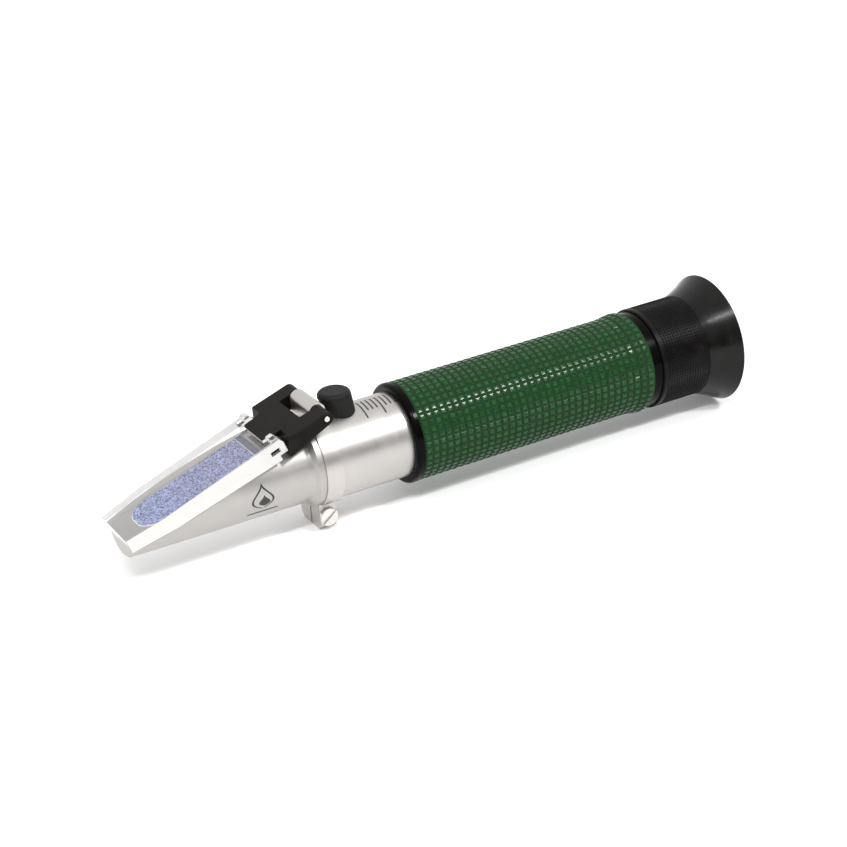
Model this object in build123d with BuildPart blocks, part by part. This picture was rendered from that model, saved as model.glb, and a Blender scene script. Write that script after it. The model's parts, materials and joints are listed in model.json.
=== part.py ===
from build123d import *
from math import cos, radians, sin, sqrt, tan
import os

# Hand-held brewing refractometer, millimetres. +X runs along the barrel towards the
# eyecup, +Z is up, and the origin is under the middle of the instrument, on the
# surface that it lies on.

# Barrel
axis_height = 17.0
tube_radius = 11.0
tube_bore = 10.0
tube_front = -34.2
tube_rear = 58.0
wall_gap = 0.03          # between pieces that are fitted tight in one another
running_gap = 0.05       # between pieces that turn or slide in one another

# Nose that carries the prism
nose_front = -84.0
nose_tip_radius = 9.4
nose_rear_radius = 9.6
flare_start = -37.9
rim_front = -35.7
rim_radius = 11.2
spigot_end = -28.6
light_bore = 4.8

# Prism and the sloping deck that it is let into
deck_angle = 17.57
deck_front = -84.09
deck_front_height = 11.31
prism_front = -79.1
prism_rear = -48.5
prism_half_width = 6.3
prism_floor = axis_height - 5.2
prism_corner = 5.2
baffle_thickness = 1.5
baffle_aperture = 4.2

# Daylight plate, in its own slope: along, across, and square to its upper face
plate_angle = 20.1
plate_tip = (-85.4, axis_height - 2.1)
plate_tip_half_width = 7.85
plate_half_width = 9.4
plate_taper_length = 12.0
plate_length = 41.8
plate_tip_thickness = 3.7
plate_rear_thickness = 5.55
plate_tail_thickness = 4.2
plate_tail_end = 44.0
plate_bevel_width = 0.25
plate_bevel_drop = 0.5
plate_window_start = 39.9
plate_window_end = 42.4
plate_window_height = 1.1
plate_ear_start = 41.2
plate_ear_end = 43.2
plate_ear_rise = 0.5

# Cover bracket and hinge
shoulder = -42.5
bracket_half_width = 10.9
bracket_low_height = 24.8
bracket_top_drop = 0.4
bracket_chamfer = 0.3
tongue_start = 40.3
tongue_thickness = 1.45
tongue_corner = 1.0
fork_half_width = 5.75
fork_start = 51.1
arm_radius = 1.7
prong_inner = 6.8
prong_width = 1.6
prong_start = 39.6
prong_height = 1.5
prong_drop = 3.4
pin_x = -32.3
pin_height = axis_height + 14.7
pin_radius = 0.75

# Clamp ring
ring_rear = -29.6
ring_radius = 11.55
knuckle_radius = 2.2
knuckle_half_width = 5.4
ear_half_width = 5.6
ear_front = -34.7
ear_rear = -30.5
ear_top = axis_height - 8.0
ear_split = 0.6
clamp_screw_x = -32.7
clamp_screw_height = axis_height - 13.3
clamp_screw_radius = 1.1
clamp_head_radius = 2.3
clamp_head_height = 1.0

# Calibration screw, its bush and the rubber cap over them
calibration_x = -23.5
bush_shank_radius = 1.9
bush_boss_radius = 2.25
spot_face_height = axis_height + 10.6
boss_top = axis_height + 12.6
screw_radius = 1.2
screw_tip = axis_height + 7.25
screw_top = axis_height + 12.0
slot_width = 0.5
slot_depth = 0.7
cap_low_centre = (calibration_x - 0.3, -0.6)
cap_low_radius = 3.6
cap_high_centre = (calibration_x - 1.9, 0)
cap_high_radius = 4.4
cap_low = axis_height + 9.5
cap_top = axis_height + 16.5
cap_cavity_radius = 2.35
cap_cavity_top = axis_height + 14.0

# Objective: a lens cell on two pivots, tilted by the calibration screw
cell_front = -21.5
cell_rear = -7.5
cell_radius = 6.7
cell_bore = 4.8
cell_seat = -17.0
cell_seat_radius = 5.4
cell_flat = 6.4
pivot_x = -9.0
pivot_radius = 0.6
pivot_outer = 8.9
pivot_inner = 5.6
mount_front = -5.5
mount_rear = 0.5
mount_bore = 6.9
mount_lug_front = -11.5
mount_lug_inner = 7.2
mount_lug_half_height = 1.6
strip_front = -25.5
strip_rear = -11.5
strip_half_width = 1.9
strip_thickness = 0.5
strip_screw_stations = (-15.2, -12.8)
spring_front = -20.0
spring_thickness = 0.3
spring_half_width = 1.5
spring_drop = 7.9

# Scale
reticle_mount_front = 24.5
reticle_mount_rear = 32.5
reticle_front = 27.0
reticle_thickness = 1.5
reticle_radius = 8.0
reticle_window = 6.8

# Grip
sleeve_front = -10.1
grip_front = -8.0
grip_bead_front = 55.9
grip_rear = 59.7
sleeve_rear = 62.2
sleeve_radius = 12.0
flange_radius = 13.0
band_radius = 12.8
grip_radius = 12.9
bead_radius = 13.4

# Eyepiece
bush_front = 50.0
bush_rear = 70.0
bush_thread_radius = 11.6
barrel_radius = 8.92
barrel_front = 48.5
barrel_rear = 78.5
barrel_bore = 6.3
lens_seat_radius = 7.3
field_seat = 53.0
eye_seat = 74.5
lens_ring_bore = 6.2
lens_ring_thickness = 1.0
collar_front = 72.9
collar_rear = 74.2
collar_radius = 10.6
guide_x = 64.6
guide_head_radius = 0.95
guide_shank_radius = 0.6
guide_slot_width = 2.0
guide_slot_front = 63.3
guide_top = 11.3

focus_front = 62.4
focus_rear = 76.7
focus_radius = 13.4
focus_thread_rear = 70.6
focus_shoulder_rear = 72.8
focus_shoulder_bore = 9.2
focus_cup_bore = 11.0
retainer_front = 74.3
retainer_rear = 75.6
cup_spigot_bore = 9.3
cup_rear = 85.4
cup_radius = 17.0
cup_rim = 1.0

tube_axis = Axis((0, 0, axis_height), (1, 0, 0))
side = Plane((0, 0, 0), x_dir=(1, 0, 0), z_dir=(0, -1, 0))
along = Plane((0, 0, axis_height), x_dir=(1, 0, 0), z_dir=(0, -1, 0))

slope = (cos(radians(plate_angle)), 0, sin(radians(plate_angle)))
slope_up = (-sin(radians(plate_angle)), 0, cos(radians(plate_angle)))
plate_origin = (plate_tip[0], 0, plate_tip[1])
plate_side = Plane(plate_origin, x_dir=slope, z_dir=(0, -1, 0))
plate_top = Plane(plate_origin, x_dir=slope, z_dir=slope_up)


def turn(outline, mode=Mode.ADD):
    """Revolve an outline of (station, radius) points about the barrel's axis."""
    with BuildSketch(along) as profile:
        with BuildLine():
            Polyline(outline, close=True)
        make_face()
    revolve(profile.sketch, axis=tube_axis, mode=mode)


def turn_ring(front, rear, outer, inner, mode=Mode.ADD):
    """A plain ring between two stations."""
    turn([(front, inner), (rear, inner), (rear, outer), (front, outer)], mode)


def slab(plane, outline, half_width, mode=Mode.ADD):
    """An outline on an upright plane, as wide on both sides of it."""
    with BuildSketch(plane) as profile:
        with BuildLine():
            Polyline(outline, close=True)
        make_face()
    extrude(profile.sketch, amount=half_width, both=True, mode=mode)


def lens(seat, radius, edge, crown, direction):
    """A plano-convex lens with its flat face on a seat, bulging one way along the barrel."""
    rim = seat + direction * edge
    peak = rim + direction * crown
    curvature = (radius**2 + crown**2) / (2 * crown)
    sag = curvature - sqrt(curvature**2 - (radius / 2) ** 2)
    with BuildSketch(along) as profile:
        with BuildLine():
            Polyline((peak, 0), (seat, 0), (seat, radius), (rim, radius))
            ThreePointArc((rim, radius), (peak - direction * sag, radius / 2), (peak, 0))
        make_face()
    revolve(profile.sketch, axis=tube_axis)


def deck_height(x):
    """Height of the nose's sloping deck at a station."""
    return deck_front_height + tan(radians(deck_angle)) * (x - deck_front)


def under_deck(front, rear, half_width, mode=Mode.ADD):
    """A block from the prism's floor up to the deck."""
    outline = [
        (front, prism_floor),
        (rear, prism_floor),
        (rear, deck_height(rear)),
        (front, deck_height(front)),
    ]
    slab(side, outline, half_width, mode)


def round_front(part, front):
    """Round the two upright corners at the tip end of a block."""
    corners = part.edges().filter_by(Axis.Z).filter_by_position(Axis.X, front - 0.1, front + 0.1)
    fillet(corners, radius=prism_corner)


def finish(builder, label):
    """Name a piece and write it out."""
    builder.part.label = label
    export_step(builder.part, f"parts/{label}.step")


os.makedirs("parts", exist_ok=True)

# ---------------------------------------------------------------- nose and prism
pocket_front = prism_front - wall_gap
pocket_rear = prism_rear + baffle_thickness + 3 * wall_gap

with BuildPart() as prism_pocket:
    under_deck(pocket_front, pocket_rear, prism_half_width + wall_gap)
    round_front(prism_pocket, pocket_front)

with BuildPart() as nose_housing:
    turn([
        (nose_front, 0),
        (nose_front, nose_tip_radius - 0.4),
        (nose_front + 0.4, nose_tip_radius),
        (flare_start, nose_rear_radius),
        (flare_start + 1.2, nose_rear_radius + 0.4),
        (rim_front, rim_radius),
        (tube_front, rim_radius),
        (tube_front, tube_bore - wall_gap),
        (spigot_end, tube_bore - wall_gap),
        (spigot_end, 0),
    ])
    turn_ring(pocket_rear - 1, spigot_end, light_bore, 0, Mode.SUBTRACT)
    slab(
        side,
        [
            (nose_front - 2, deck_height(nose_front - 2)),
            (flare_start, deck_height(flare_start)),
            (flare_start, 2 * axis_height),
            (nose_front - 2, 2 * axis_height),
        ],
        2 * rim_radius,
        Mode.SUBTRACT,
    )
    add(prism_pocket.part, mode=Mode.SUBTRACT)
finish(nose_housing, "nose_housing")

with BuildPart() as main_prism:
    under_deck(prism_front, prism_rear, prism_half_width)
    round_front(main_prism, prism_front)
finish(main_prism, "main_prism")

with BuildPart() as light_baffle:
    baffle_front = prism_rear + wall_gap
    under_deck(baffle_front, baffle_front + baffle_thickness, prism_half_width)
    turn_ring(baffle_front - 1, baffle_front + 3, baffle_aperture, 0, Mode.SUBTRACT)
finish(light_baffle, "light_baffle")

# ---------------------------------------------------------------- barrel
with BuildPart() as main_tube:
    turn_ring(tube_front, tube_rear, tube_radius, tube_bore)
    with BuildSketch(Plane.XY.offset(axis_height)):
        with Locations((calibration_x, 0)):
            Circle(bush_shank_radius + wall_gap)
    extrude(amount=tube_radius + 1, mode=Mode.SUBTRACT)
    with BuildSketch(Plane.XY.offset(spot_face_height)):
        with Locations((calibration_x, 0)):
            Circle(bush_boss_radius + wall_gap)
    extrude(amount=2, mode=Mode.SUBTRACT)
finish(main_tube, "main_tube")

with BuildPart() as clamp_ring:
    turn_ring(tube_front, ring_rear, ring_radius, 0)
    with BuildSketch(side):
        with Locations((pin_x, pin_height)):
            Circle(knuckle_radius)
        with BuildLine():
            Polyline(
                (tube_front, axis_height),
                (ring_rear, axis_height),
                (pin_x + knuckle_radius, pin_height),
                (pin_x - knuckle_radius, pin_height),
                close=True,
            )
        make_face()
    extrude(amount=knuckle_half_width, both=True)
    with BuildSketch(Plane.YZ.offset(ear_front)):
        with BuildLine():
            Polyline(
                (-ear_half_width, ear_top),
                (ear_half_width, ear_top),
                (ear_half_width, 1.4),
                (ear_half_width - 1.4, 0),
                (1.4 - ear_half_width, 0),
                (-ear_half_width, 1.4),
                close=True,
            )
        make_face()
    extrude(amount=ear_rear - ear_front)
    turn_ring(ear_front - 1, ring_rear + 1, tube_radius + wall_gap, 0, Mode.SUBTRACT)
    turn_ring(ear_front - 1, tube_front, rim_radius + wall_gap, 0, Mode.SUBTRACT)
    with BuildSketch(side):
        with Locations((clamp_screw_x, clamp_screw_height)):
            Circle(clamp_screw_radius + wall_gap)
        with Locations((pin_x, pin_height)):
            Circle(pin_radius + running_gap)
    extrude(amount=2 * ear_half_width, both=True, mode=Mode.SUBTRACT)
    split_height = axis_height - tube_bore
    with BuildSketch(Plane.XY):
        with Locations(((ear_front + ring_rear) / 2, 0)):
            Rectangle(2 * (ring_rear - ear_front), ear_split)
    extrude(amount=split_height, mode=Mode.SUBTRACT)
finish(clamp_ring, "clamp_ring")

with BuildPart() as clamp_screw:
    with BuildSketch(Plane.XZ.offset(ear_half_width)):
        with Locations((clamp_screw_x, clamp_screw_height)):
            Circle(clamp_head_radius)
    extrude(amount=clamp_head_height)
    with BuildSketch(Plane.XZ.offset(ear_half_width)):
        with Locations((clamp_screw_x, clamp_screw_height)):
            Circle(clamp_screw_radius)
    extrude(amount=-2 * ear_half_width + 0.3)
    with BuildSketch(Plane.XZ.offset(ear_half_width + clamp_head_height)):
        with Locations(Location((clamp_screw_x, clamp_screw_height), 35)):
            Rectangle(3 * clamp_head_radius, 0.6)
    extrude(amount=-0.5, mode=Mode.SUBTRACT)
finish(clamp_screw, "clamp_screw")

# ---------------------------------------------------------------- calibration
with BuildPart() as calibration_bush:
    with BuildSketch(Plane.XY.offset(spot_face_height)):
        with Locations((calibration_x, 0)):
            Circle(bush_boss_radius)
    extrude(amount=boss_top - spot_face_height)
    with BuildSketch(Plane.XY.offset(spot_face_height)):
        with Locations((calibration_x, 0)):
            Circle(bush_shank_radius)
    extrude(amount=-1.6)
    with BuildSketch(Plane.XY.offset(axis_height)):
        with Locations((calibration_x, 0)):
            Circle(screw_radius + running_gap)
    extrude(amount=boss_top, mode=Mode.SUBTRACT)
finish(calibration_bush, "calibration_bush")

with BuildPart() as calibration_screw:
    with BuildSketch(Plane.XY.offset(screw_tip)):
        with Locations((calibration_x, 0)):
            Circle(screw_radius)
    extrude(amount=screw_top - screw_tip)
    with BuildSketch(Plane.XY.offset(screw_top)):
        with Locations((calibration_x, 0)):
            Rectangle(3 * screw_radius, slot_width)
    extrude(amount=-slot_depth, mode=Mode.SUBTRACT)
    chamfer(calibration_screw.faces().sort_by(Axis.Z)[0].edges(), length=0.4)
finish(calibration_screw, "calibration_screw")

with BuildPart() as screw_cap:
    with BuildSketch(Plane.XY.offset(cap_low)):
        with Locations(cap_low_centre):
            Circle(cap_low_radius)
    with BuildSketch(Plane.XY.offset(cap_top)):
        with Locations(cap_high_centre):
            Circle(cap_high_radius)
    loft()
    fillet(screw_cap.faces().sort_by(Axis.Z)[-1].edges(), radius=1.2)
    turn_ring(calibration_x - 8, calibration_x + 8, tube_radius + 0.12, 0, Mode.SUBTRACT)
    with BuildSketch(Plane.XY.offset(axis_height)):
        with Locations((calibration_x, 0)):
            Circle(cap_cavity_radius)
    extrude(amount=cap_cavity_top - axis_height, mode=Mode.SUBTRACT)
finish(screw_cap, "screw_cap")

# ---------------------------------------------------------------- objective
with BuildPart() as lens_mount:
    turn_ring(mount_front, mount_rear, tube_bore - wall_gap, mount_bore)
    lug_length = mount_front - mount_lug_front
    lug_thickness = pivot_outer - mount_lug_inner
    with BuildSketch(Plane.XY.offset(axis_height - mount_lug_half_height)):
        with Locations((mount_front - lug_length / 2, 0)):
            with Locations((0, pivot_outer - lug_thickness / 2), (0, lug_thickness / 2 - pivot_outer)):
                Rectangle(lug_length, lug_thickness)
    extrude(amount=2 * mount_lug_half_height)
    with BuildSketch(side):
        with Locations((pivot_x, axis_height)):
            Circle(pivot_radius + wall_gap)
    extrude(amount=tube_bore, both=True, mode=Mode.SUBTRACT)
finish(lens_mount, "lens_mount")

with BuildPart() as pivot_pins:
    for direction in (-1, 1):
        with BuildSketch(Plane.XZ.offset(direction * pivot_inner)):
            with Locations((pivot_x, axis_height)):
                Circle(pivot_radius)
        extrude(amount=direction * (pivot_outer - pivot_inner))
finish(pivot_pins, "pivot_pins")

with BuildPart() as return_spring:
    spring_low = axis_height - spring_drop
    slab(
        side,
        [
            (spring_front, spring_low),
            (mount_front, spring_low),
            (mount_front, spring_low + spring_thickness),
            (spring_front + 3.5, spring_low + spring_thickness),
            (spring_front + 2.2, spring_low + 2.4 * spring_thickness),
            (spring_front, spring_low + spring_thickness),
        ],
        spring_half_width,
    )
finish(return_spring, "return_spring")

with BuildPart() as lens_cell:
    turn([
        (cell_front, cell_seat_radius),
        (cell_seat, cell_seat_radius),
        (cell_seat, cell_bore),
        (cell_rear, cell_bore),
        (cell_rear, cell_radius),
        (cell_front, cell_radius),
    ])
    with BuildSketch(Plane.XY.offset(axis_height + cell_flat)):
        with Locations(((cell_front + cell_rear) / 2, 0)):
            Rectangle(2 * (cell_rear - cell_front), 2 * cell_radius)
    extrude(amount=cell_radius, mode=Mode.SUBTRACT)
    with BuildSketch(side):
        with Locations((pivot_x, axis_height)):
            Circle(pivot_radius + running_gap)
    extrude(amount=tube_bore, both=True, mode=Mode.SUBTRACT)
    with BuildSketch(Plane.XY.offset(axis_height)):
        with Locations(*[(x, 0) for x in strip_screw_stations]):
            Circle(0.5)
    extrude(amount=cell_radius, mode=Mode.SUBTRACT)
finish(lens_cell, "lens_cell")

with BuildPart() as objective_lens:
    lens(cell_seat, cell_seat_radius - wall_gap, 3.2, 0.7, -1)
finish(objective_lens, "objective_lens")

with BuildPart() as objective_ring:
    turn_ring(cell_front, cell_seat - 3.5, cell_seat_radius - wall_gap, cell_bore)
finish(objective_ring, "objective_ring")

with BuildPart() as bimetal_strip:
    with BuildSketch(Plane.XY.offset(axis_height + cell_flat)):
        with Locations(((strip_front + strip_rear) / 2, 0)):
            RectangleRounded(strip_rear - strip_front, 2 * strip_half_width, 0.8)
        with Locations(*[(x, 0) for x in strip_screw_stations]):
            Circle(0.53, mode=Mode.SUBTRACT)
    extrude(amount=strip_thickness)
finish(bimetal_strip, "bimetal_strip")

with BuildPart() as strip_screws:
    with BuildSketch(Plane.XY.offset(axis_height + cell_bore + 0.2)):
        with Locations(*[(x, 0) for x in strip_screw_stations]):
            Circle(0.48)
    extrude(amount=cell_flat - cell_bore - 0.2 + strip_thickness)
    with BuildSketch(Plane.XY.offset(axis_height + cell_flat + strip_thickness)):
        with Locations(*[(x, 0) for x in strip_screw_stations]):
            Circle(0.9)
    extrude(amount=0.5)
finish(strip_screws, "strip_screws")

# ---------------------------------------------------------------- scale
reticle_rear = reticle_front + reticle_thickness
with BuildPart() as reticle_mount:
    turn([
        (reticle_mount_front, reticle_window),
        (reticle_front, reticle_window),
        (reticle_front, reticle_radius),
        (reticle_mount_rear, reticle_radius),
        (reticle_mount_rear, tube_bore - wall_gap),
        (reticle_mount_front, tube_bore - wall_gap),
    ])
finish(reticle_mount, "reticle_mount")

with BuildPart() as scale_reticle:
    turn_ring(reticle_front, reticle_rear, reticle_radius - wall_gap, 0)
finish(scale_reticle, "scale_reticle")

with BuildPart() as reticle_ring:
    turn_ring(reticle_rear, reticle_rear + 1.5, reticle_radius - wall_gap, reticle_window)
finish(reticle_ring, "reticle_ring")

# ---------------------------------------------------------------- grip
sleeve_bore = tube_radius + wall_gap
with BuildPart() as grip_sleeve:
    turn([
        (sleeve_front, sleeve_bore),
        (sleeve_rear, sleeve_bore),
        (sleeve_rear, band_radius),
        (grip_rear, band_radius),
        (grip_rear, sleeve_radius),
        (grip_front, sleeve_radius),
        (grip_front, flange_radius),
        (sleeve_front, flange_radius),
    ])
    front_edge = grip_sleeve.edges().filter_by(GeomType.CIRCLE)
    front_edge = front_edge.filter_by(lambda e: abs(e.radius - flange_radius) < 0.01)
    fillet(front_edge.sort_by(Axis.X)[0], radius=1.1)
finish(grip_sleeve, "grip_sleeve")

with BuildPart() as rubber_grip:
    turn([
        (grip_front, sleeve_radius + wall_gap),
        (grip_rear, sleeve_radius + wall_gap),
        (grip_rear, bead_radius - 0.3),
        (grip_rear - 0.4, bead_radius),
        (grip_bead_front + 0.6, bead_radius),
        (grip_bead_front, grip_radius),
        (grip_front, grip_radius),
    ])
finish(rubber_grip, "rubber_grip")

# ---------------------------------------------------------------- eyepiece
with BuildPart() as rear_bush:
    bush_bore = barrel_radius + running_gap
    turn([
        (bush_front, bush_bore),
        (bush_rear, bush_bore),
        (bush_rear, bush_thread_radius),
        (sleeve_rear, bush_thread_radius),
        (sleeve_rear, tube_radius),
        (tube_rear, tube_radius),
        (tube_rear, tube_bore - wall_gap),
        (bush_front, tube_bore - wall_gap),
    ])
    with BuildSketch(Plane.XY.offset(axis_height)):
        with Locations((guide_slot_front, 0)):
            Rectangle(2 * (bush_rear - guide_slot_front), guide_slot_width, align=(Align.MIN, Align.CENTER))
    extrude(amount=2 * bush_thread_radius, mode=Mode.SUBTRACT)
finish(rear_bush, "rear_bush")

with BuildPart() as eyepiece_barrel:
    turn([
        (barrel_front, lens_seat_radius),
        (field_seat, lens_seat_radius),
        (field_seat, barrel_bore),
        (eye_seat, barrel_bore),
        (eye_seat, lens_seat_radius),
        (barrel_rear, lens_seat_radius),
        (barrel_rear, barrel_radius),
        (collar_rear, barrel_radius),
        (collar_rear, collar_radius),
        (collar_front, collar_radius),
        (collar_front, barrel_radius),
        (barrel_front, barrel_radius),
    ])
    with BuildSketch(Plane.XY.offset(axis_height + barrel_bore - 1)):
        with Locations((guide_x, 0)):
            Circle(guide_shank_radius + wall_gap)
    extrude(amount=5, mode=Mode.SUBTRACT)
finish(eyepiece_barrel, "eyepiece_barrel")

with BuildPart() as guide_screw:
    with BuildSketch(Plane.XY.offset(axis_height + barrel_bore + 0.4)):
        with Locations((guide_x, 0)):
            Circle(guide_shank_radius)
    extrude(amount=guide_top - barrel_bore - 0.4)
    with BuildSketch(Plane.XY.offset(axis_height + barrel_radius + 0.02)):
        with Locations((guide_x, 0)):
            Circle(guide_head_radius)
    extrude(amount=guide_top - barrel_radius - 0.02)
finish(guide_screw, "guide_screw")

lens_radius = lens_seat_radius - wall_gap
with BuildPart() as field_lens:
    lens(field_seat, lens_radius, 1.8, 1.2, -1)
finish(field_lens, "field_lens")

with BuildPart() as field_lens_ring:
    ring_front = field_seat - 2.2 - lens_ring_thickness
    turn_ring(ring_front, ring_front + lens_ring_thickness, lens_radius, lens_ring_bore)
finish(field_lens_ring, "field_lens_ring")

with BuildPart() as eye_lens:
    lens(eye_seat, lens_radius, 2.4, 1.2, 1)
finish(eye_lens, "eye_lens")

with BuildPart() as eye_lens_ring:
    turn_ring(barrel_rear - lens_ring_thickness, barrel_rear, lens_radius, lens_ring_bore)
finish(eye_lens_ring, "eye_lens_ring")

with BuildPart() as focus_ring:
    turn([
        (focus_front, bush_thread_radius + running_gap),
        (focus_thread_rear, bush_thread_radius + running_gap),
        (focus_thread_rear, focus_shoulder_bore),
        (focus_shoulder_rear, focus_shoulder_bore),
        (focus_shoulder_rear, focus_cup_bore),
        (focus_rear, focus_cup_bore),
        (focus_rear, focus_radius),
        (focus_front + 0.4, focus_radius),
        (focus_front, focus_radius - 0.4),
    ])
finish(focus_ring, "focus_ring")

with BuildPart() as barrel_retainer:
    turn_ring(retainer_front, retainer_rear, focus_cup_bore - wall_gap, focus_shoulder_bore)
finish(barrel_retainer, "barrel_retainer")

with BuildPart() as eyecup:
    spigot_radius = focus_cup_bore - wall_gap
    floor_rear = focus_rear + 1.6
    with BuildSketch(along):
        with BuildLine():
            c1 = Polyline(
                (floor_rear, cup_spigot_bore),
                (retainer_rear, cup_spigot_bore),
                (retainer_rear, spigot_radius),
                (focus_rear, spigot_radius),
                (focus_rear, focus_radius),
            )
            c2 = ThreePointArc(c1 @ 1, (focus_rear + 4.3, 14.95), (cup_rear - cup_rim / 2, cup_radius))
            c3 = Line(c2 @ 1, (cup_rear, cup_radius - cup_rim / 2))
            c4 = Line(c3 @ 1, (cup_rear - cup_rim / 2, cup_radius - cup_rim))
            ThreePointArc(c4 @ 1, (focus_rear + 3.8, 13.2), c1 @ 0)
        make_face()
    revolve(axis=tube_axis)
finish(eyecup, "eyecup")

# ---------------------------------------------------------------- cover
with BuildPart() as daylight_plate:
    slab(
        plate_side,
        [
            (0, 0),
            (plate_ear_start, 0),
            (plate_ear_start + 0.3, plate_ear_rise),
            (plate_ear_end - 0.3, plate_ear_rise),
            (plate_ear_end, 0),
            (plate_tail_end, -plate_tail_thickness / 3),
            (plate_tail_end, -plate_tail_thickness),
            (plate_length, -plate_tail_thickness),
            (plate_length, -plate_rear_thickness),
            (0, -plate_tip_thickness),
        ],
        plate_half_width,
    )
    with BuildSketch(plate_top.offset(-2 * plate_rear_thickness)):
        with BuildLine():
            Polyline(
                (0, -plate_tip_half_width),
                (plate_taper_length, -plate_half_width),
                (plate_length + 6, -plate_half_width),
                (plate_length + 6, plate_half_width),
                (plate_taper_length, plate_half_width),
                (0, plate_tip_half_width),
                close=True,
            )
        make_face()
    extrude(amount=4 * plate_rear_thickness, mode=Mode.INTERSECT)
    pocket_depth = bracket_top_drop + tongue_thickness + wall_gap
    with BuildSketch(plate_top.offset(-pocket_depth)):
        with Locations((tongue_start - running_gap, 0)):
            Rectangle(9, 2 * (fork_half_width + running_gap), align=(Align.MIN, Align.CENTER))
    extrude(amount=2 * pocket_depth, mode=Mode.SUBTRACT)
    prong_middle = prong_inner + prong_width / 2
    with BuildSketch(plate_top.offset(-prong_drop - wall_gap)):
        with Locations((0, prong_middle), (0, -prong_middle)):
            with Locations((prong_start - wall_gap, 0)):
                Rectangle(9, prong_width + 2 * wall_gap, align=(Align.MIN, Align.CENTER))
    extrude(amount=prong_height + 2 * wall_gap, mode=Mode.SUBTRACT)
    for way in (1, -1):
        with BuildSketch(Plane(plate_origin, x_dir=(0, 1, 0), z_dir=slope)):
            with BuildLine():
                Polyline(
                    (way * (plate_half_width - plate_bevel_width), plate_ear_rise),
                    (way * (plate_half_width - plate_bevel_width), 0),
                    (way * plate_half_width, -plate_bevel_drop),
                    (way * (plate_half_width + 1), -plate_bevel_drop),
                    (way * (plate_half_width + 1), plate_ear_rise),
                    close=True,
                )
            make_face()
        extrude(amount=plate_tail_end, mode=Mode.SUBTRACT)
        with BuildSketch(plate_side.offset(way * (prong_inner + prong_width))):
            with Locations(((plate_window_start + plate_window_end) / 2, prong_height / 2 - prong_drop)):
                Rectangle(plate_window_end - plate_window_start, plate_window_height)
        extrude(amount=way * 2, mode=Mode.SUBTRACT)
finish(daylight_plate, "daylight_plate")

with BuildPart() as cover_bracket:
    top_front = plate_side.from_local_coords((45.45, -bracket_top_drop))
    with BuildSketch(side):
        with BuildLine():
            Polyline(
                (shoulder, bracket_low_height),
                (shoulder, top_front.Z),
                (pin_x + arm_radius * slope_up[0], pin_height + arm_radius * slope_up[2]),
                (pin_x - arm_radius * slope_up[0], pin_height - arm_radius * slope_up[2]),
                close=True,
            )
        make_face()
        with Locations((pin_x, pin_height)):
            Circle(arm_radius)
    extrude(amount=bracket_half_width, both=True)
    long_edges = cover_bracket.edges().filter_by(Plane.XZ).group_by(Axis.Y)
    chamfer(long_edges[0] + long_edges[-1], length=bracket_chamfer)
    with BuildSketch(plate_top.offset(-12)):
        with Locations((fork_start, 0)):
            Rectangle(20, 2 * fork_half_width, align=(Align.MIN, Align.CENTER))
    extrude(amount=24, mode=Mode.SUBTRACT)
    with BuildSketch(plate_top.offset(-bracket_top_drop)):
        with Locations((tongue_start, 0)):
            RectangleRounded(7, 2 * fork_half_width, tongue_corner, align=(Align.MIN, Align.CENTER))
    extrude(amount=-tongue_thickness)
    with BuildSketch(plate_top.offset(-prong_drop)):
        with Locations((0, prong_middle), (0, -prong_middle)):
            with Locations((prong_start, 0)):
                Rectangle(7, prong_width, align=(Align.MIN, Align.CENTER))
    extrude(amount=prong_height)
    turn_ring(nose_front, flare_start, nose_rear_radius + 0.7, 0, Mode.SUBTRACT)
    turn_ring(flare_start - 0.5, ring_rear + 3, ring_radius + 0.5, 0, Mode.SUBTRACT)
    with BuildSketch(side):
        with Locations((pin_x, pin_height)):
            Circle(pin_radius + wall_gap)
    extrude(amount=2 * bracket_half_width, both=True, mode=Mode.SUBTRACT)
finish(cover_bracket, "cover_bracket")

with BuildPart() as hinge_pin:
    with BuildSketch(side):
        with Locations((pin_x, pin_height)):
            Circle(pin_radius)
    extrude(amount=bracket_half_width, both=True)
finish(hinge_pin, "hinge_pin")
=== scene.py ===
import json
import math
from collections import namedtuple

import bpy
from mathutils import Matrix, Quaternion, Vector


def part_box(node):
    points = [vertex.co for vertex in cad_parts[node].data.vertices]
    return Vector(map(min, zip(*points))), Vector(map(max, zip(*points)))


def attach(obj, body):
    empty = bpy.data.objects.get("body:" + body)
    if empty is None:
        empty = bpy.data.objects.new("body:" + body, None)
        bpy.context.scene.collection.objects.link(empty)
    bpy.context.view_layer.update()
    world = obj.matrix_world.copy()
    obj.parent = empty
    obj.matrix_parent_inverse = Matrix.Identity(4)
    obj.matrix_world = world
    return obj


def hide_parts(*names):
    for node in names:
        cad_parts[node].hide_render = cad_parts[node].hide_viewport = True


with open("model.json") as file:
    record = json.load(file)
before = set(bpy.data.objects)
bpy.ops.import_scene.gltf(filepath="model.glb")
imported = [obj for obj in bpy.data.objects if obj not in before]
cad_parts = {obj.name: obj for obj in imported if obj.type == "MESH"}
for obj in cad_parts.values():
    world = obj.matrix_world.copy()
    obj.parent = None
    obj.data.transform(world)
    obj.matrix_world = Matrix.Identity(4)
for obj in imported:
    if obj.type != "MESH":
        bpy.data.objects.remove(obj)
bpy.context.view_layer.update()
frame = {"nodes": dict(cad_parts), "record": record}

# A hand-held brewing refractometer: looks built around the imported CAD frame. Lengths are
# metres. +X runs along the barrel towards the eyecup, and +Z is up.

MM = 0.001


def node_span(name):
    """A turned node's front, rear, axis height and outer radius."""
    low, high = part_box(name)
    return low.x, high.x, (low.z + high.z) / 2, (high.y - low.y) / 2


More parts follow.
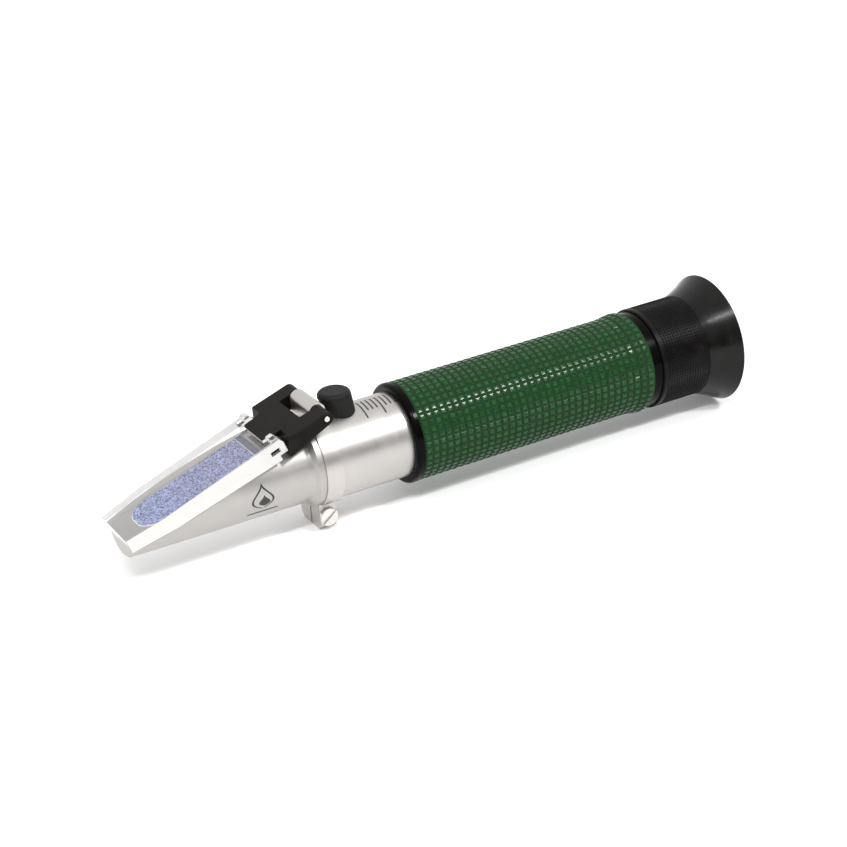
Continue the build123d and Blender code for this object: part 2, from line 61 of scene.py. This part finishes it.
AXIS_HEIGHT = node_span("main_tube")[2]
TUBE_RADIUS = node_span("main_tube")[3]
TUBE_RULER_START = node_span("clamp_ring")[1] + 10.2 * MM
NOSE_FRONT = node_span("nose_housing")[0]
PRISM_FRONT, PRISM_REAR = node_span("main_prism")[:2]

# The grip swells towards its rear end. GRIP_RADIUS is its radius in front of the swelling.
GRIP_REAR = node_span("rubber_grip")[1]
BEAD_SWELL = 0.5 * MM
BEAD_START = GRIP_REAR - 5.6 * MM
BEAD_FULL = GRIP_REAR - 2.2 * MM
GRIP_RADIUS = node_span("rubber_grip")[3] - BEAD_SWELL


# ---------------------------------------------------------------- materials
class Finish:
    """A procedural material: one Principled shader, with its textures read in object space."""

    def __init__(self, name, **values):
        self.name = name
        self.material = bpy.data.materials.new(name)
        self.material.use_nodes = True
        self.tree = self.material.node_tree
        self.shader = self.tree.nodes["Principled BSDF"]
        self.place = self.add("ShaderNodeTexCoord").outputs["Object"]
        self.shade(**values)

    def add(self, kind, **settings):
        """A new node, with its own properties set."""
        node = self.tree.nodes.new(kind)
        for key, value in settings.items():
            setattr(node, key, value)
        return node

    def plug(self, socket, value):
        """Link an input to another node's output, or give it a number, a vector or a colour."""
        if isinstance(value, bpy.types.NodeSocket):
            self.tree.links.new(value, socket)
        elif socket.type == "RGBA":
            socket.default_value = (*value, 1)
        else:
            socket.default_value = value

    def feed(self, node, **inputs):
        """Link or set inputs by name, as in from_min=0.3 or specular_ior_level=0.2."""
        for key, value in inputs.items():
            self.plug(node.inputs[key.replace("_", " ").title().replace("Ior", "IOR")], value)

    def shade(self, **inputs):
        """Link or set the shader's own inputs."""
        self.feed(self.shader, **inputs)

    def mapped(self, scale, shift=(0, 0, 0)):
        """The object's own coordinates, scaled and then shifted."""
        mapping = self.add("ShaderNodeMapping")
        self.feed(mapping, vector=self.place, scale=scale, location=shift)
        return mapping.outputs["Vector"]

    def axis(self, letter, vector=None):
        """One coordinate of a vector, or of the object's own place."""
        split = self.add("ShaderNodeSeparateXYZ")
        self.feed(split, vector=vector or self.place)
        return split.outputs[letter]

    def noise(self, grain, detail=3.0, rough=0.55, place=None):
        """Noise whose cells are about one grain across, in metres."""
        node = self.add("ShaderNodeTexNoise")
        self.feed(node, vector=place or self.place, scale=1 / grain, detail=detail, roughness=rough)
        return node.outputs["Fac"]

    def grains(self, size):
        """A random value for each grain of a ground surface."""
        cells = self.add("ShaderNodeTexVoronoi", feature="F1")
        self.feed(cells, vector=self.place, scale=1 / size)
        separate = self.add("ShaderNodeSeparateColor")
        self.feed(separate, color=cells.outputs["Color"])
        return separate.outputs["Red"]

    def spread(self, value, low, high, start=0.3, end=0.7):
        """Stretch start..end, where most of a noise lies, to low..high, and hold it beyond."""
        node = self.add("ShaderNodeMapRange")
        self.feed(node, value=value, from_min=start, from_max=end, to_min=low, to_max=high)
        return node.outputs["Result"]

    def maths(self, operation, *values):
        """One step of arithmetic on sockets or numbers."""
        node = self.add("ShaderNodeMath", operation=operation)
        for socket, value in zip(node.inputs, values):
            self.plug(socket, value)
        return node.outputs["Value"]

    def mix(self, share, first, second):
        """A colour between two colours."""
        node = self.add("ShaderNodeMix", data_type="RGBA")
        factor, color_a, color_b = node.inputs[0], node.inputs[6], node.inputs[7]
        self.plug(factor, share)
        self.plug(color_a, first)
        self.plug(color_b, second)
        return node.outputs[2]

    def bump(self, height, depth):
        """Raise the surface by a height of 0 to 1 times a depth in metres."""
        node = self.add("ShaderNodeBump")
        self.feed(node, height=height, distance=depth, strength=1.0)
        self.shade(normal=node.outputs["Normal"])


def satin_metal(name, dark, light, roughness, grain, turned=False):
    """Bare metal with a fine grain: cast or blasted, or turned with marks round the barrel."""
    finish = Finish(name, metallic=1.0)
    streak = 0.02
    place = finish.mapped((1.0, streak, streak)) if turned else finish.place
    fine = finish.noise(grain, 4.0, 0.6, place)
    broad = finish.noise(6 * MM, 2.0)
    handled = finish.maths("MULTIPLY", finish.spread(fine, 0, 0.6), finish.spread(broad, 0, 1))
    finish.shade(
        base_color=finish.mix(handled, dark, light),
        roughness=finish.maths("ADD", finish.spread(fine, *roughness), finish.spread(broad, 0, 0.06)),
    )
    finish.bump(fine, 0.012 * MM)
    return finish


def moulded(name, deep, worn, roughness, grain, depth, shine):
    """Black plastic, anodising or rubber: a fine skin, with dust and rubbed places."""
    finish = Finish(name, specular_ior_level=shine)
    skin = finish.noise(grain)
    dust = finish.spread(finish.noise(0.35 * MM, 2.0), 0.0, 1.0, 0.66, 0.78)
    rubbed = finish.spread(finish.noise(4 * MM, 4.0), 0.0, 1.0, 0.45, 0.75)
    marks = finish.maths(
        "ADD", finish.maths("MULTIPLY", dust, 0.5), finish.maths("MULTIPLY", rubbed, 0.5)
    )
    scuffs = finish.maths("MULTIPLY", rubbed, 0.08)
    finish.shade(
        base_color=finish.mix(marks, deep, worn),
        roughness=finish.maths("ADD", finish.spread(skin, *roughness), scuffs),
    )
    finish.bump(skin, depth)
    return finish


def embossed_rubber(name):
    """Glossy dark green grip rubber: polished on the studs' tops, dull in the grooves, whose darker
    green is painted shade.
    """
    finish = Finish(name, specular_ior_level=0.2)
    swell = finish.spread(finish.axis("X"), 0.0, BEAD_SWELL, BEAD_START, BEAD_FULL)
    swell.node.interpolation_type = "SMOOTHSTEP"
    radius = finish.add("ShaderNodeVectorMath", operation="LENGTH")
    finish.feed(radius, vector=finish.mapped((0, 1, 1), (0, 0, -AXIS_HEIGHT)))
    level = finish.maths("SUBTRACT", radius.outputs["Value"], swell)
    top_start, top_full = GRIP_RADIUS - 0.09 * MM, GRIP_RADIUS - 0.045 * MM
    top = finish.spread(level, 0.0, 1.0, top_start, top_full)
    mottle = finish.spread(finish.noise(1.1 * MM), 0.0, 1.0, 0.35, 0.65)
    rubber = finish.mix(mottle, (0.004, 0.036, 0.006), (0.016, 0.086, 0.022))
    dust = finish.spread(finish.noise(0.5 * MM), 0, 1)
    # Painted shade: the grooves take a darker green than the studs' tops, and the noise varies it at
    # random.
    groove = finish.mix(dust, (0.003, 0.026, 0.005), (0.009, 0.044, 0.012))
    polish = finish.spread(finish.noise(0.4 * MM), 0.12, 0.20)
    finish.shade(
        base_color=finish.mix(top, groove, rubber),
        roughness=finish.maths("ADD", polish, finish.spread(top, 0.45, 0.0, 0, 1)),
    )
    finish.bump(finish.noise(0.12 * MM, 2.0), 0.006 * MM)
    return finish


def speckled_glass(name):
    """The measuring prism: polished over a finely ground blue back, more violet to the rear."""
    finish = Finish(
        name, coat_weight=0.25, coat_roughness=0.03, roughness=0.4, specular_ior_level=0.2
    )
    speck = finish.spread(finish.grains(0.32 * MM), 0.0, 1.0, 0.2, 0.8)
    blue = finish.mix(speck, (0.004, 0.03, 0.20), (0.46, 0.57, 0.96))
    dull = finish.mix(speck, (0.03, 0.02, 0.08), (0.34, 0.28, 0.45))
    fade_start, fade_end = PRISM_FRONT + 4.1 * MM, PRISM_REAR - 1.5 * MM
    violet = finish.spread(finish.axis("X"), 0.05, 0.45, fade_start, fade_end)
    finish.shade(base_color=finish.mix(violet, blue, dull))
    finish.bump(finish.noise(0.3 * MM), 0.004 * MM)
    return finish


def ground_edge(name, dark, light, glow):
    """A finely ground edge of glass, with a painted glow: it emits light, so that it shows as a
    bright line.
    """
    finish = Finish(
        name, roughness=0.6, emission_color=(0.95, 0.96, 1.0), emission_strength=glow
    )
    finish.shade(base_color=finish.mix(finish.spread(finish.noise(0.3 * MM), 0, 1), dark, light))
    finish.bump(finish.noise(0.1 * MM), 0.004 * MM)
    return finish


def painted_shade_sheet(name):
    """Slate-blue anodised sheet behind the prism. Its dark colour is painted shade, for the shaded
    gap at the prism's rear.
    """
    finish = Finish(name, roughness=0.45, specular_ior_level=0.3)
    baffle_tone = finish.spread(finish.noise(0.5 * MM), 0, 1)
    finish.shade(base_color=finish.mix(baffle_tone, (0.06, 0.07, 0.14), (0.11, 0.12, 0.22)))
    finish.bump(finish.noise(0.15 * MM), 0.006 * MM)
    return finish


def smears(finish):
    """The roughness of a polished transparent face, with faint smears."""
    return finish.spread(finish.noise(3 * MM, 5.0), 0.01, 0.06)


def clear_glass(name, tint, ior):
    """Polished optical glass."""
    finish = Finish(name, base_color=tint, transmission_weight=1.0, ior=ior)
    finish.shade(roughness=smears(finish))
    finish.bump(finish.noise(2 * MM), 0.002 * MM)
    return finish


def clear_acrylic(name, tint, ior):
    """Moulded acrylic: polished faces, and ground grey sides with a painted glow, which they emit in
    place of the light scattered inside them.
    """
    # Painted glow: the emission strength here, and the emission colour below, make the ground sides
    # emit near-white light.
    finish = Finish(
        name, base_color=tint, transmission_weight=1.0, ior=ior, emission_strength=0.50
    )
    normal = finish.add("ShaderNodeTexCoord").outputs["Normal"]
    across = finish.maths("ABSOLUTE", finish.axis("Y", normal))
    bevelled = finish.spread(across, 0.0, 1.0, 0.82, 0.88)
    side = finish.spread(across, 0.0, 1.0, 0.93, 0.98)
    grain = finish.noise(0.15 * MM, 2.0)
    ground = finish.mix(grain, (0.27, 0.26, 0.25), (0.38, 0.37, 0.355))
    finish.shade(
        base_color=finish.mix(bevelled, tint, finish.mix(side, (0.34, 0.32, 0.32), ground)),
        roughness=finish.maths("ADD", smears(finish), finish.maths("MULTIPLY", side, 0.35)),
        transmission_weight=finish.spread(bevelled, 1.0, 0.45, 0, 1),
        emission_color=finish.mix(side, (0, 0, 0), (1, 0.99, 0.97)),
    )
    finish.bump(finish.maths("MULTIPLY", grain, side), 0.01 * MM)
    return finish


def printed_ink(name):
    """Nearly black ink."""
    finish = Finish(name, roughness=0.45)
    wear = finish.spread(finish.noise(0.15 * MM), 0, 1)
    finish.shade(base_color=finish.mix(wear, (0.010, 0.010, 0.012), (0.04, 0.04, 0.042)))
    finish.bump(finish.noise(0.1 * MM), 0.004 * MM)
    return finish


def anodised_sleeve():
    """The sleeve under the grip: smooth black anodising."""
    return moulded(
        "anodised_sleeve", (0.0012, 0.0011, 0.0010), (0.0045, 0.0042, 0.0040),
        roughness=(0.12, 0.2), grain=0.25 * MM, depth=0.002 * MM, shine=0.06,
    )


def eyecup_rubber():
    """The eyecup's rubber, which has a sheen."""
    return moulded(
        "eyecup_rubber", (0.0035, 0.0033, 0.003), (0.013, 0.012, 0.011),
        roughness=(0.17, 0.24), grain=0.3 * MM, depth=0.004 * MM, shine=0.22,
    )


def knurled_plastic():
    """The focusing ring's plastic, duller than the other black pieces."""
    return moulded(
        "knurled_plastic", (0.003, 0.0026, 0.0025), (0.014, 0.012, 0.011),
        roughness=(0.30, 0.40), grain=0.2 * MM, depth=0.006 * MM, shine=0.11,
    )


METALS = (
    satin_metal(
        "nose", (0.45, 0.435, 0.42), (0.57, 0.55, 0.53),
        roughness=(0.34, 0.48), grain=0.16 * MM,
    ),
    satin_metal(
        "tube", (0.51, 0.49, 0.473), (0.62, 0.60, 0.58),
        roughness=(0.30, 0.40), grain=0.12 * MM, turned=True,
    ),
    satin_metal(
        "clamp", (0.56, 0.53, 0.508), (0.66, 0.63, 0.605),
        roughness=(0.28, 0.40), grain=0.14 * MM,
    ),
    satin_metal(
        "screw_steel", (0.72, 0.70, 0.66), (0.86, 0.84, 0.80),
        roughness=(0.16, 0.3), grain=0.2 * MM,
    ),
    satin_metal(
        "brass", (0.60, 0.43, 0.19), (0.78, 0.60, 0.30),
        roughness=(0.22, 0.36), grain=0.15 * MM,
    ),
    satin_metal(
        "bimetal", (0.50, 0.45, 0.40), (0.68, 0.62, 0.55),
        roughness=(0.3, 0.42), grain=0.15 * MM, turned=True,
    ),
)
BLACKS = (
    moulded(
        "black_metal", (0.0012, 0.0011, 0.0010), (0.004, 0.004, 0.0038),
        roughness=(0.10, 0.16), grain=0.25 * MM, depth=0.002 * MM, shine=0.05,
    ),
    moulded(
        "black_plastic", (0.004, 0.004, 0.004), (0.016, 0.015, 0.014),
        roughness=(0.22, 0.32), grain=0.2 * MM, depth=0.004 * MM, shine=0.35,
    ),
    moulded(
        "bracket_plastic", (0.0055, 0.0047, 0.0036), (0.019, 0.0162, 0.013),
        roughness=(0.4, 0.55), grain=0.18 * MM, depth=0.012 * MM, shine=0.10,
    ),
    moulded(
        "cap_rubber", (0.007, 0.007, 0.0068), (0.026, 0.025, 0.024),
        roughness=(0.42, 0.58), grain=0.3 * MM, depth=0.01 * MM, shine=0.18,
    ),
)
OTHERS = (
    embossed_rubber("grip_rubber"),
    speckled_glass("prism_glass"),
    clear_glass("lens_glass", tint=(0.93, 0.97, 0.96), ior=1.52),
    clear_acrylic("clear_plate", tint=(1.0, 0.995, 1.0), ior=1.49),
)
FINISHES = {finish.name: finish for finish in METALS + BLACKS + OTHERS}
INK = printed_ink("printed_ink")


def dress_nodes():
    """Give each CAD node its slot's finish, except three nodes that have a finish of their own."""
    slot_of = {part["node"]: part["material_slot"] for part in frame["record"]["subparts"]}
    for node_name, node in frame["nodes"].items():
        node.data.materials.clear()
        node.data.materials.append(FINISHES[slot_of[node_name]].material)
    # The light baffle's dark slate-blue is painted shade, for the shaded gap behind the prism.
    frame["nodes"]["light_baffle"].data.materials[0] = painted_shade_sheet("baffle_painted_shade").material
    frame["nodes"]["grip_sleeve"].data.materials[0] = anodised_sleeve().material
    frame["nodes"]["eyecup"].data.materials[0] = eyecup_rubber().material


def add_ground_edges():
    """Give the prism and the plate a second material, for their bevelled edges."""
    # Painted highlight: the prism's white edges glow strongly, to show as a bright line. The plate's
    # grey edges glow faintly, a painted glow too.
    white = ground_edge("prism_edge", (0.74, 0.75, 0.80), (0.93, 0.93, 0.95), glow=0.25)
    grey = ground_edge("plate_edge", (0.36, 0.35, 0.36), (0.52, 0.51, 0.52), glow=0.05)
    frame["nodes"]["main_prism"].data.materials.append(white.material)
    frame["nodes"]["daylight_plate"].data.materials.append(grey.material)


dress_nodes()
add_ground_edges()


# ---------------------------------------------------------------- carried-over CAD nodes
# How wide each node's edges are rounded. The ground edges take their node's second material.
SAME_MATERIAL = -1
SECOND_MATERIAL = 1
PLAIN_EDGES = {
    "cover_bracket": 0.20 * MM,
    "nose_housing": 0.10 * MM,
    "clamp_ring": 0.12 * MM,
    "clamp_screw": 0.08 * MM,
    "light_baffle": 0.05 * MM,
}
GROUND_EDGES = {"main_prism": 0.22 * MM, "daylight_plate": 0.08 * MM}


def soften(node_name, width, material):
    """Round a CAD node's sharp edges with modifiers, which leave its own points alone."""
    node = frame["nodes"][node_name]
    if node.data.has_custom_normals:
        node.data.normals_split_custom_set([(0, 0, 0)] * len(node.data.loops))
    node.data.shade_smooth()
    weld = node.modifiers.new("weld", "WELD")
    weld.merge_threshold = 0.001 * MM
    planes = node.modifiers.new("planes", "DECIMATE")
    planes.decimate_type = "DISSOLVE"
    planes.angle_limit = math.radians(0.5)
    bevel = node.modifiers.new("bevel", "BEVEL")
    bevel.width = width
    bevel.segments = 2
    bevel.limit_method = "ANGLE"
    bevel.angle_limit = math.radians(30)
    bevel.material = material
    normals = node.modifiers.new("normals", "WEIGHTED_NORMAL")
    normals.keep_sharp = False


for node_name, width in PLAIN_EDGES.items():
    soften(node_name, width, SAME_MATERIAL)
for node_name, width in GROUND_EDGES.items():
    soften(node_name, width, SECOND_MATERIAL)


# ---------------------------------------------------------------- turned pieces
def new_piece(name, points, faces, body, slot, replaced=None, sharp=18, finish=None):
    """A mesh riding on a CAD body, in the place of a CAD node where replaced names one."""
    mesh = bpy.data.meshes.new(name)
    mesh.from_pydata(points, [], faces)
    mesh.validate()
    mesh.shade_smooth()
    mesh.set_sharp_from_angle(angle=math.radians(sharp))
    mesh.materials.append((finish or FINISHES[slot]).material)
    piece = bpy.data.objects.new(name, mesh)
    bpy.context.scene.collection.objects.link(piece)
    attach(piece, body)
    if replaced:
        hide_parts(replaced)


def on_barrel(station, radius, angle, height):
    """A point on the barrel. The angle runs from the top towards the near side."""
    return station, -radius * math.sin(angle), height + radius * math.cos(angle)


# A sleeve's studs: how many go round, the groove's share of a stud's pitch, the flat top's
# share, how high they rise, how far the top bulges, and the angle of the first groove.
Studs = namedtuple("Studs", "count land tip rise dome twist")

# One belt of studs round a sleeve, with the radius of its root at the front and the rear.
Belt = namedtuple("Belt", "start end first last")

# The rim of a stud's top, as shares of its half length and of its half angle.
STUD_RIM = ((-1, -1), (0, -1), (1, -1), (1, 0), (1, 1), (0, 1), (-1, 1), (-1, 0))


def stud_on(corners, belt, middle, studs, height, points, faces):
    """One four-sided stud on a patch of four corners: sloping sides up to a domed top."""
    length = (belt.end - belt.start) / (1 - studs.land)
    half_length = length / 2 * studs.tip
    half_angle = math.pi / studs.count * studs.tip
    station = (belt.start + belt.end) / 2
    crown = (belt.first + belt.last) / 2 + studs.rise
    lean = (belt.last - belt.first) / (belt.end - belt.start) * half_length
    rim = len(points)
    for along, around in STUD_RIM:
        place = station + along * half_length
        points.append(on_barrel(place, crown + along * lean, middle + around * half_angle, height))
    points.append(on_barrel(station, crown + studs.dome, middle, height))
    centre = rim + len(STUD_RIM)
    for i in range(4):
        j = (i + 1) % 4
        faces.append((corners[i], corners[j], rim + 2 * j, rim + 2 * i + 1, rim + 2 * i))
        faces.append((rim + 2 * i, rim + 2 * i + 1, rim + 2 * j, centre))


def studded_sleeve(front, belts, rear, studs, height):
    """A closed turned shell with belts of studs cut into it. front and rear are plain
    (station, radius) outlines, and rear carries on through the bore back to the start."""
    pitch = 2 * math.pi / studs.count
    edges = (studs.land / 2, 1 - studs.land / 2)
    angles = [studs.twist + pitch * (k + edge) for k in range(studs.count) for edge in edges]
    loop = len(angles)
    points, faces, rings, belt_at = [], [], [], {}

    def add_ring(station, radius):
        rings.append(len(points))
        points.extend(on_barrel(station, radius, angle, height) for angle in angles)

    def join(a, b, belt):
        """The strip between two rings, which carries studs, between grooves, in a belt."""
        for k in range(loop):
            n = (k + 1) % loop
            corners = (a + k, b + k, b + n, a + n)
            if belt and k % 2 == 0:
                middle = studs.twist + pitch * (k // 2 + 0.5)
                stud_on(corners, belt, middle, studs, height, points, faces)
            else:
                faces.append(corners)

    for station, radius in front:
        add_ring(station, radius)
    for belt in belts:
        belt_at[len(rings)] = belt
        add_ring(belt.start, belt.first)
        add_ring(belt.end, belt.last)
    for station, radius in rear:
        add_ring(station, radius)
    for i in range(len(rings)):
        join(rings[i], rings[(i + 1) % len(rings)], belt_at.get(i))
    return points, faces


def belts_between(start, end, pitch, land, radius_at):
    """Belts of studs at an even pitch from start to end, with a groove between them."""
    number = round((end - start) / pitch)
    step = (end - start) / number
    made = []
    for i in range(number):
        middle = start + (i + 0.5) * step
        half = (1 - land) * step / 2
        front, rear = middle - half, middle + half
        made.append(Belt(front, rear, radius_at(front), radius_at(rear)))
    return made


def rubber_grip():
    """The embossed green grip: rows of flat pyramids between V grooves, swollen at the rear."""
    front, rear, height, _ = node_span("rubber_grip")
    studs = Studs(
        count=45, land=0.06, tip=0.56, rise=0.24 * MM, dome=0.038 * MM, twist=math.radians(2)
    )
    pitch, bore = 1.95 * MM, 12.03 * MM
    root = GRIP_RADIUS - studs.rise - studs.dome

    def root_at(x):
        share = min(max((x - BEAD_START) / (BEAD_FULL - BEAD_START), 0), 1)
        return root + BEAD_SWELL * share * share * (3 - 2 * share)

    belts = belts_between(front + 0.25 * MM, rear - 0.4 * MM, pitch, studs.land, root_at)
    ends = root + BEAD_SWELL + 0.02 * MM
    front_lip = [(front, bore), (front, root - 0.05 * MM), (front + 0.1 * MM, root)]
    rear_lip = [
        (rear - 0.25 * MM, ends), (rear - 0.08 * MM, ends - 0.06 * MM),
        (rear, ends - 0.3 * MM), (rear, bore),
    ]
    points, faces = studded_sleeve(front_lip, belts, rear_lip, studs, height)
    new_piece("grip_embossed", points, faces, "housing", "grip_rubber", "rubber_grip", sharp=3)


def focus_sleeve():
    """The knurled focusing ring: fine studs between two plain lips, with its bores."""
    front, rear, height, outer = node_span("focus_ring")
    depth, pitch = 0.26 * MM, 0.8 * MM
    studs = Studs(
        count=104, land=0.3, tip=0.24, rise=depth - 0.02 * MM, dome=0.02 * MM, twist=0.0
    )
    root = outer - depth
    start, end = front + 1.5 * MM, rear - 0.6 * MM
    belts = belts_between(start, end, pitch, studs.land, lambda x: root)
    bore, shoulder, cup = 11.65 * MM, 9.2 * MM, 11.0 * MM
    thread_end, cup_floor = front + 8.2 * MM, front + 10.4 * MM
    front_lip = [
        (front, bore), (front, outer - 0.35 * MM), (front + 0.12 * MM, outer - 0.1 * MM),
        (front + 0.35 * MM, outer), (start - 0.3 * MM, outer), (start - 0.1 * MM, root),
    ]
    rear_lip = [
        (end + 0.1 * MM, root), (end + 0.3 * MM, outer - 0.1 * MM), (rear, outer - 0.1 * MM),
        (rear, cup), (cup_floor, cup), (cup_floor, shoulder),
        (thread_end, shoulder), (thread_end, bore),
    ]
    points, faces = studded_sleeve(front_lip, belts, rear_lip, studs, height)
    new_piece(
        "focus_knurled", points, faces, "focus", "black_plastic", "focus_ring",
        finish=knurled_plastic(),
    )


def hinge_pin():
    """The cover's pin, with a rounded rim and a small centre dimple in each end."""
    low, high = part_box("hinge_pin")
    x, z, radius = (low.x + high.x) / 2, (low.z + high.z) / 2, (high.x - low.x) / 2
    end = (high.y - low.y) / 2
    dimple_floor, dimple_wall = (0, -end + 0.3 * MM), (0.24 * radius, -end + 0.05 * MM)
    near_end = [
        dimple_wall, (0.38 * radius, -end), (0.78 * radius, -end), (radius, -end + 0.15 * MM)
    ]
    outline = near_end + [(r, -y) for r, y in reversed(near_end)]
    sides = 32
    turns = [2 * math.pi * k / sides for k in range(sides)]
    points = [
        (x + r * math.cos(turn), y, z + r * math.sin(turn)) for r, y in outline for turn in turns
    ]
    near_centre, far_centre = len(points), len(points) + 1
    points += [(x, dimple_floor[1], z), (x, -dimple_floor[1], z)]
    last = (len(outline) - 1) * sides
    faces = []
    for k in range(sides):
        n = (k + 1) % sides
        for ring in range(len(outline) - 1):
            a, b = ring * sides, (ring + 1) * sides
            faces.append((a + k, b + k, b + n, a + n))
        faces.append((near_centre, k, n))
        faces.append((last + k, far_centre, last + n))
    new_piece("hinge_pin_turned", points, faces, "cover", "screw_steel", "hinge_pin", sharp=25)


rubber_grip()
focus_sleeve()
hinge_pin()


# ---------------------------------------------------------------- printed marks
INK_HEIGHT = 0.015 * MM


def printed_band(name, rows, radius_at):
    """A thin raised print on the barrel. Each row is (angle, start, end), in order of angle."""
    points, faces = [], []
    for angle, start, end in rows:
        for x in (start, end):
            for level in (-INK_HEIGHT, INK_HEIGHT):
                radius = radius_at(x) + level
                points.append(on_barrel(x, radius, math.radians(angle), AXIS_HEIGHT))
    for row in range(len(rows) - 1):
        a, b = 4 * row, 4 * row + 4
        for i, j in ((0, 2), (2, 3), (3, 1), (1, 0)):
            faces.append((a + i, a + j, b + j, b + i))
    faces.append((0, 1, 3, 2))
    last = 4 * len(rows) - 4
    faces.append((last, last + 2, last + 3, last + 1))
    new_piece(name, points, faces, "housing", None, finish=INK)


def droplet_rows(station, width, top, bottom, steps=18):
    """A droplet that points up the barrel's side: (angle, start, end) from its tip to its foot."""
    rows = []
    for i in range(steps + 1):
        share = i / steps
        belly = math.sin(math.pi * share ** 1.4) * (0.35 + 0.65 * share)
        half = width / 2 * 1.3 * belly + 0.01 * MM
        rows.append((top + (bottom - top) * share, station - half, station + half))
    return rows


def nose_skin(x):
    """The nose's radius, which grows a little from its tip to its flare."""
    tip, flare = NOSE_FRONT + 0.4 * MM, NOSE_FRONT + 46.1 * MM
    tip_radius, flare_radius = 9.4 * MM, 9.6 * MM
    return tip_radius + (flare_radius - tip_radius) * (x - tip) / (flare - tip)


def droplet_mark():
    """A droplet in outline over a level line, on the near side of the nose."""
    station, line = NOSE_FRONT + 33.4 * MM, 0.55 * MM
    outer = droplet_rows(station, width=6.0 * MM, top=72, bottom=116)
    left = [(angle, start, min(start + line, (start + end) / 2)) for angle, start, end in outer]
    right = [(angle, max(end - line, (start + end) / 2), end) for angle, start, end in outer]
    core = droplet_rows(station + 0.4 * MM, width=3.0 * MM, top=92, bottom=111)
    base_half = 4.0 * MM
    base = [(angle, station - base_half, station + base_half) for angle in (121, 122.5, 124)]
    printed_band("mark_droplet_left", left, nose_skin)
    printed_band("mark_droplet_right", right, nose_skin)
    printed_band("mark_droplet_core", core, nose_skin)
    printed_band("mark_droplet_line", base, nose_skin)


def ruler_mark():
    """A short row of ruler ticks along the top of the tube, every fourth one longer."""
    ticks, pitch, width = 8, 1.25 * MM, 0.42 * MM
    for tick in range(ticks):
        start = TUBE_RULER_START + tick * pitch
        reach = 36 if tick % 4 == 0 else 22
        rows = [(angle, start, start + width) for angle in range(-4, reach, 4)]
        printed_band(f"mark_tick_{tick}", rows, lambda x: TUBE_RADIUS)


droplet_mark()
ruler_mark()


# ---------------------------------------------------------------- stage, light and camera
# The camera was solved from the circles of the tube, the grip and the eyecup.
CAMERA_AIM = Vector((-0.0014, 0.0001, 0.0173))
CAMERA_DISTANCE = 0.55
CAMERA_LENS = 93.24
CAMERA_AZIMUTH, CAMERA_ELEVATION, CAMERA_ROLL = -26.632, 25.013, 5.253


def photo_camera():
    """The camera at the photograph's angle."""
    azimuth, elevation = math.radians(CAMERA_AZIMUTH), math.radians(CAMERA_ELEVATION)
    back = Vector((
        math.sin(azimuth) * math.cos(elevation),
        -math.cos(azimuth) * math.cos(elevation),
        math.sin(elevation),
    ))
    data = bpy.data.cameras.new("camera")
    data.lens = CAMERA_LENS
    data.clip_start = 0.01
    camera = bpy.data.objects.new("camera", data)
    camera.location = CAMERA_AIM + back * CAMERA_DISTANCE
    camera.rotation_mode = "QUATERNION"
    roll = Quaternion((0, 0, 1), -math.radians(CAMERA_ROLL))
    camera.rotation_quaternion = (-back).to_track_quat("-Z", "Y") @ roll
    bpy.context.scene.collection.objects.link(camera)
    bpy.context.scene.camera = camera


def pale_floor():
    """A plain pale sheet under the object, which glows a little, so that it shows white."""
    half = 3.0
    mesh = bpy.data.meshes.new("floor")
    corners = [(-half, -half, 0), (half, -half, 0), (half, half, 0), (-half, half, 0)]
    mesh.from_pydata(corners, [], [(0, 1, 2, 3)])
    floor = bpy.data.objects.new("floor", mesh)
    bpy.context.scene.collection.objects.link(floor)
    finish = Finish(
        "floor", roughness=0.9, specular_ior_level=0.0,
        emission_color=(1.0, 1.0, 1.0), emission_strength=0.13,
    )
    paper = finish.mix(finish.noise(20 * MM), (0.915, 0.915, 0.915), (0.925, 0.925, 0.925))
    finish.shade(base_color=paper)
    mesh.materials.append(finish.material)


def softbox(name, direction, width, length, power):
    """A rectangular lamp that faces the object from a direction, its width along the barrel."""
    distance = 2.0
    lamp = bpy.data.lights.new(name, "AREA")
    lamp.shape = "RECTANGLE"
    lamp.size, lamp.size_y = width, length
    lamp.energy = power
    holder = bpy.data.objects.new(name, lamp)
    back = Vector(direction).normalized()
    holder.location = CAMERA_AIM + back * distance
    holder.rotation_mode = "QUATERNION"
    along = (Vector((1, 0, 0)) - back * back.x).normalized()
    turn = Matrix((along, back.cross(along), back)).transposed()
    holder.rotation_quaternion = turn.to_quaternion()
    bpy.context.scene.collection.objects.link(holder)


def studio_sky():
    """White light from above and behind, which fades towards the front."""
    world = bpy.data.worlds.new("studio")
    bpy.context.scene.world = world
    world.use_nodes = True
    nodes, links = world.node_tree.nodes, world.node_tree.links
    direction = nodes.new("ShaderNodeTexCoord")
    height_behind = nodes.new("ShaderNodeVectorMath")
    height_behind.operation = "DOT_PRODUCT"
    height_behind.inputs[1].default_value = (0.0, 0.5, 0.85)
    level = nodes.new("ShaderNodeMapRange")
    for key, value in {"From Min": -0.45, "From Max": 0.45, "To Min": 0.05, "To Max": 1.0}.items():
        level.inputs[key].default_value = value
    nodes["Background"].inputs["Color"].default_value = (1.0, 1.0, 1.0, 1.0)
    links.new(direction.outputs["Generated"], height_behind.inputs[0])
    links.new(height_behind.outputs["Value"], level.inputs["Value"])
    links.new(level.outputs["Result"], nodes["Background"].inputs["Strength"])


photo_camera()
pale_floor()
softbox("key", direction=(0.41, -0.56, 0.74), width=0.3, length=0.26, power=18.0)
softbox("fill", direction=(-0.27, -0.53, 0.80), width=0.9, length=0.09, power=14.0)
studio_sky()
bpy.context.scene.view_settings.view_transform = "Standard"
